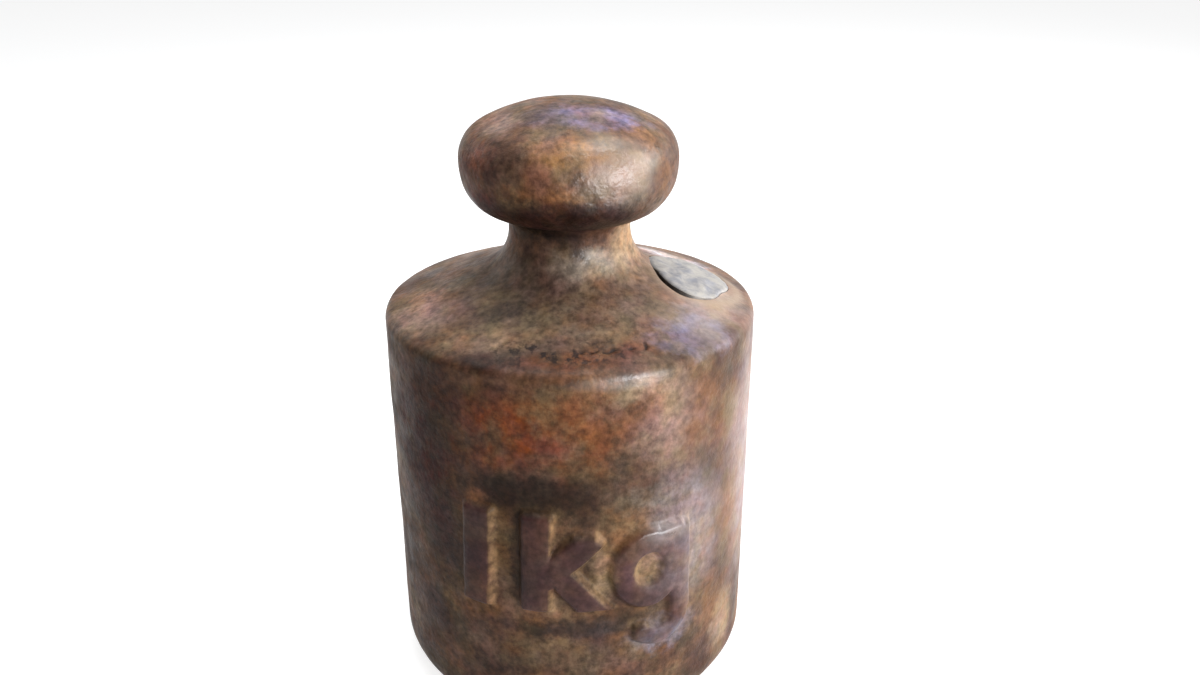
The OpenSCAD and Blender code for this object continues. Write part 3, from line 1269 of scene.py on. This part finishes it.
@dataclass
class LeadPlug:
    """The lead driven into the mouth: a hammered, slightly domed face over a keyed stem."""

    mouth: Mouth
    place: Matrix
    dome: float = 0.5
    fit: float = 0.02
    foot: float = -4.28
    pitch: float = 0.28
    columns: int = 144
    stem_margin: float = 0.1
    sink: float = -0.1
    low_way: float = math.radians(195.0)
    tilt: float = 0.05
    edge_start: float = 0.92
    edge_drop: float = 0.12
    rim_way: float = math.radians(285.0)
    rim_height: float = 0.06
    rim_middle: float = 0.86
    rim_width: float = 0.09
    # Painted shade at the plug's edge over the open gap, dark as grime.
    gap_grime_and_shade: float = 0.95
    gap_grime_and_shade_edge: tuple[float, float] = (0.93, 0.99)
    ragged: Ripple = Ripple(1.6, 4, 0.012)
    uneven: Ripple = Ripple(0.9, 6, 0.06)
    blows: tuple[Dent, ...] = (
        Dent((-2.9, 1.9, 0.0), 2.3, 0.3),
        Dent((-0.6, -2.8, 0.0), 2.1, 0.28),
        Dent((1.8, 2.4, 0.0), 2.6, 0.26),
        Dent((3.6, -1.2, 0.0), 2.0, 0.3),
        Dent((0.4, 0.2, 0.0), 1.6, 0.2),
        Dent((-1.2, 4.4, 0.0), 1.9, 0.22),
        Dent((2.6, -4.2, 0.0), 1.7, 0.26),
        Dent((-3.4, -1.6, 0.0), 1.5, 0.2),
    )

    def section(self) -> Pen:
        """Draws the plug's section from the middle of its face down to its foot.

        Returns:
            The pen with the finished chain.
        """
        radius = self.mouth.radius - self.fit
        keyed = radius + self.mouth.groove_depth
        face = (radius * radius + self.dome * self.dome) / (2 * self.dome)
        top = -self.mouth.groove_drop - self.fit
        bottom = -self.mouth.groove_drop - self.mouth.groove_width + self.fit
        corners = ((radius, top), (keyed, top), (keyed, bottom), (radius, bottom), (radius, self.foot))
        pen = Pen(0.0, self.dome)
        pen.bend(face, -math.asin(radius / face), self.pitch)
        for across, height in (*corners, (0.0, self.foot)):
            pen.line_to(across, height, self.pitch * 2)
        return pen

    def hammer(self, shape: bmesh.types.BMesh) -> None:
        """Works the face with hammer blows, draws it back on the neck's side and rolls its rim.

        Args:
            shape: The turned plug, in the mouth's own frame.
        """
        gap_grime_and_shade = shape.verts.layers.float.new(Trace.GRIME_AND_SHADE.value)
        for point in shape.verts:
            if point.co.z < -self.mouth.groove_drop + self.stem_margin:
                continue
            flat = Vector((point.co.x, point.co.y, 0.0))
            share = flat.length / self.mouth.radius
            angle = math.atan2(flat.y, flat.x)
            above = ease(point.co.z, -self.mouth.groove_drop, -self.mouth.flare_depth)
            reach = 1 + (self.mouth.outline(angle) - 1 + self.ragged.at(flat)) * share * above
            depth = sum(blow.push(flat) for blow in self.blows) - self.uneven.at(flat)
            depth += self.sink + self.tilt * math.cos(angle - self.low_way) * share
            depth += self.edge_drop * ease(share, self.edge_start, 1.0)
            # The plug's edge over the open gap gets painted shade, dark as grime.
            point[gap_grime_and_shade] = self.gap_grime_and_shade * self.mouth.openness(angle) ** 0.5 * ease(share, *self.gap_grime_and_shade_edge)
            ridge = bell(share - self.rim_middle, self.rim_width) * max(math.cos(angle - self.rim_way), 0.0)
            depth -= self.rim_height * ridge
            point.co = Vector((point.co.x * reach, point.co.y * reach, point.co.z - depth * above))

    def build(self) -> bpy.types.Object:
        """Builds the plug.

        Returns:
            The finished piece.
        """
        shape = self.section().turned(self.columns)
        self.hammer(shape)
        bmesh.ops.transform(shape, matrix=self.place, verts=shape.verts[:])
        return finished(shape, "hammered_lead", math.radians(60))

    def dress(self, piece: bpy.types.Object, finish: DullMetal) -> None:
        """Gives the plug its finish and its place in the frame.

        Args:
            piece: The plug.
            finish: Its finish.
        """
        piece.data.materials.append(finish.material())
        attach(piece, "root")
        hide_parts("lead_plug")


@dataclass
class HiddenPieces:
    """The closing disc and the shot, which keep the shapes that the frame gives them."""

    disc: str = "closing_disc"
    shot: str = "lead_shot_"

    def dress(self, disc_finish: DullMetal, shot_finish: DullMetal) -> int:
        """Gives the pieces inside the cavity their finishes.

        Args:
            disc_finish: Finish of the closing disc.
            shot_finish: Finish of the shot.

        Returns:
            How many pieces were dressed.
        """
        dressed = 0
        for start, material, slot in (
            (self.disc, disc_finish.material(), Slot.DISC_IRON),
            (self.shot, shot_finish.material(), Slot.SHOT_LEAD),
        ):
            for name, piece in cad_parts.items():
                if name.startswith(start):
                    for holder in piece.material_slots:
                        holder.material = material
                    dressed += 1
        return dressed


@dataclass(frozen=True)
class Lamp:
    """A soft rectangular lamp."""

    name: str
    place: Triple
    size: tuple[float, float]
    watts: float
    colour: Triple

    def hang(self, target: Vector) -> None:
        """Adds the lamp to the scene.

        Args:
            target: Where the lamp points.
        """
        data = bpy.data.lights.new(self.name, "AREA")
        data.shape = "RECTANGLE"
        data.size, data.size_y = self.size
        data.energy = self.watts
        data.color = self.colour
        lamp = placed(self.name, data)
        lamp.location = self.place
        lamp.rotation_euler = (target - Vector(self.place)).to_track_quat("-Z", "Y").to_euler()


@dataclass(frozen=True)
class Camera:
    """The camera at the photograph's angle."""

    place: Triple = (0.0, -0.14924, 0.11568)
    pitch: float = math.radians(23.617)
    yaw: float = math.radians(1.64)
    focal_pixels: float = 1112.4
    frame_pixels: float = 1200.0
    sensor: float = 36.0
    nearest: float = 0.005
    farthest: float = 20.0

    def mount(self) -> None:
        """Adds the camera to the scene and looks through it."""
        data = bpy.data.cameras.new("camera")
        data.sensor_fit = "HORIZONTAL"
        data.sensor_width = self.sensor
        data.lens = self.sensor * self.focal_pixels / self.frame_pixels
        data.clip_start = self.nearest
        data.clip_end = self.farthest
        camera = placed("camera", data)
        camera.location = self.place
        camera.rotation_euler = (math.pi / 2 - self.pitch, 0.0, -self.yaw)
        bpy.context.scene.camera = camera


@dataclass(frozen=True)
class Studio:
    """A pale floor and a white surround, with one soft key light from the right and weak fills."""

    floor_radius: float = 3.0
    floor_colour: Colour = (0.45, 0.45, 0.45, 1.0)
    floor_roughness: float = 0.9
    floor_shine: float = 0.1
    floor_glow: float = 0.78
    floor_mirrored: tuple[float, float] = (0.2, 1.0)
    floor_bright_way: Triple = (0.8, 0.6, 0.0)
    floor_turns: tuple[float, float] = (-0.1, 0.12)
    bright_way: Triple = (0.62, 0.62, 0.48)
    sky_turns: tuple[float, float] = (-0.5, 0.8)
    ambient: tuple[float, float] = (0.01, 0.28)
    mirrored: tuple[float, float] = (0.03, 1.1)
    lit: Triple = (0.0, 0.0, 0.045)
    lamps: tuple[Lamp, ...] = (
        Lamp("window", (0.305, -0.335, 0.1), (0.34, 0.22), 2.25, (0.97, 0.98, 1.0)),
        Lamp("right_side", (0.45, 0.06, 0.2), (0.3, 0.3), 2.65, (0.97, 0.98, 1.0)),
        Lamp("overhead", (0.04, 0.06, 0.55), (0.42, 0.42), 3.1, (0.94, 0.97, 1.0)),
        Lamp("back_left", (-0.36, 0.22, 0.22), (0.3, 0.3), 0.65, (1.0, 0.92, 0.86)),
    )

    def set_up(self) -> None:
        """Lays the floor, hangs the lamps and sets the surround."""
        self.lay_floor()
        self.surround()
        for lamp in self.lamps:
            lamp.hang(Vector(self.lit))

    def seen_directly(self, nodes: Nodes) -> tuple[Socket, Socket]:
        """Tells which rays see the background as such.

        Args:
            nodes: The node tree to add to.

        Returns:
            A value of 1 for camera rays, and one of 1 for glossy and transmission rays.
        """
        rays = nodes.add("LightPath", {}).outputs
        mirrored = nodes.reckon("MAXIMUM", rays["Is Glossy Ray"], rays["Is Transmission Ray"])
        return rays["Is Camera Ray"], mirrored

    def lay_floor(self) -> None:
        """Lays a pale floor that keeps the weight's shadow but is seen near white."""
        shape = bmesh.new()
        bmesh.ops.create_circle(shape, cap_ends=True, segments=64, radius=self.floor_radius)
        floor = meshed("floor", shape)
        sheet = Sheet("pale_floor")
        sheet.coated({
            "Base Color": self.floor_colour,
            "Roughness": self.floor_roughness,
            "Specular IOR Level": self.floor_shine,
        })
        camera, mirrored = self.seen_directly(sheet)
        facing = sheet.vectors("DOT_PRODUCT", sheet.place, self.floor_bright_way).outputs["Value"]
        level = sheet.times(mirrored, sheet.span(facing, *self.floor_turns, *self.floor_mirrored))
        level = sheet.reckon("MAXIMUM", sheet.times(camera, self.floor_glow), level)
        glow = sheet.add("Emission", {"Color": WHITE, "Strength": level})
        both = sheet.add("AddShader", {0: sheet.shader.outputs["BSDF"], 1: glow.outputs["Emission"]})
        sheet.feed(sheet.tree.nodes["Material Output"].inputs["Surface"], both.outputs["Shader"])
        floor.data.materials.append(sheet.material)

    def surround(self) -> None:
        """Makes the surround white to the camera, and in reflections white behind and darker in front."""
        world = bpy.data.worlds.new("surround")
        bpy.context.scene.world = world
        world.use_nodes = True
        nodes = Nodes(world.node_tree, "Generated")
        camera, mirrored = self.seen_directly(nodes)
        way = Vector(self.bright_way).normalized()
        facing = nodes.vectors("DOT_PRODUCT", nodes.place, way).outputs["Value"]
        plain = nodes.span(facing, *self.sky_turns, *self.ambient)
        glossy = nodes.span(facing, *self.sky_turns, *self.mirrored)
        choice = nodes.add("Mix", {"Factor": mirrored, "A": plain, "B": glossy})
        strength = nodes.reckon("MAXIMUM", choice.outputs["Result"], camera)
        back = nodes.tree.nodes["Background"]
        nodes.feed(back.inputs["Color"], WHITE)
        nodes.feed(back.inputs["Strength"], strength)


def main() -> None:
    """Builds the weight and the studio, and reports each piece."""
    logging.basicConfig(level=logging.INFO, format="%(name)s: %(message)s")
    bpy.context.scene.view_settings.view_transform = "Standard"
    Camera().mount()
    Studio().set_up()
    low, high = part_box("casting")
    mouth = Mouth()
    casting = Casting(-low.x / MM, high.z / MM, mouth, MassMark(), Crevice())
    iron = casting.build()
    casting.dress(iron, RustedIron())
    log.info("casting: %d faces, %.1f mm high", len(iron.data.polygons), casting.height)
    plug = LeadPlug(mouth, casting.mouth_frame())
    lead = plug.build()
    plug.dress(lead, DullMetal("driven_lead", srgb(158, 153, 146), srgb(122, 122, 127), 0.4, 0.5, 2.2, 0.15))
    log.info("lead plug: %d faces", len(lead.data.polygons))
    dressed = HiddenPieces().dress(
        DullMetal("plain_disc_iron", srgb(134, 130, 128), srgb(92, 84, 78), 0.8, 0.45, 1.6, 0.1),
        DullMetal("dull_shot_lead", srgb(150, 154, 162), srgb(112, 114, 120), 0.8, 0.5, 1.0, 0.08),
    )
    log.info("pieces inside the cavity: %d", dressed)


if __name__ == "__main__":
    main()
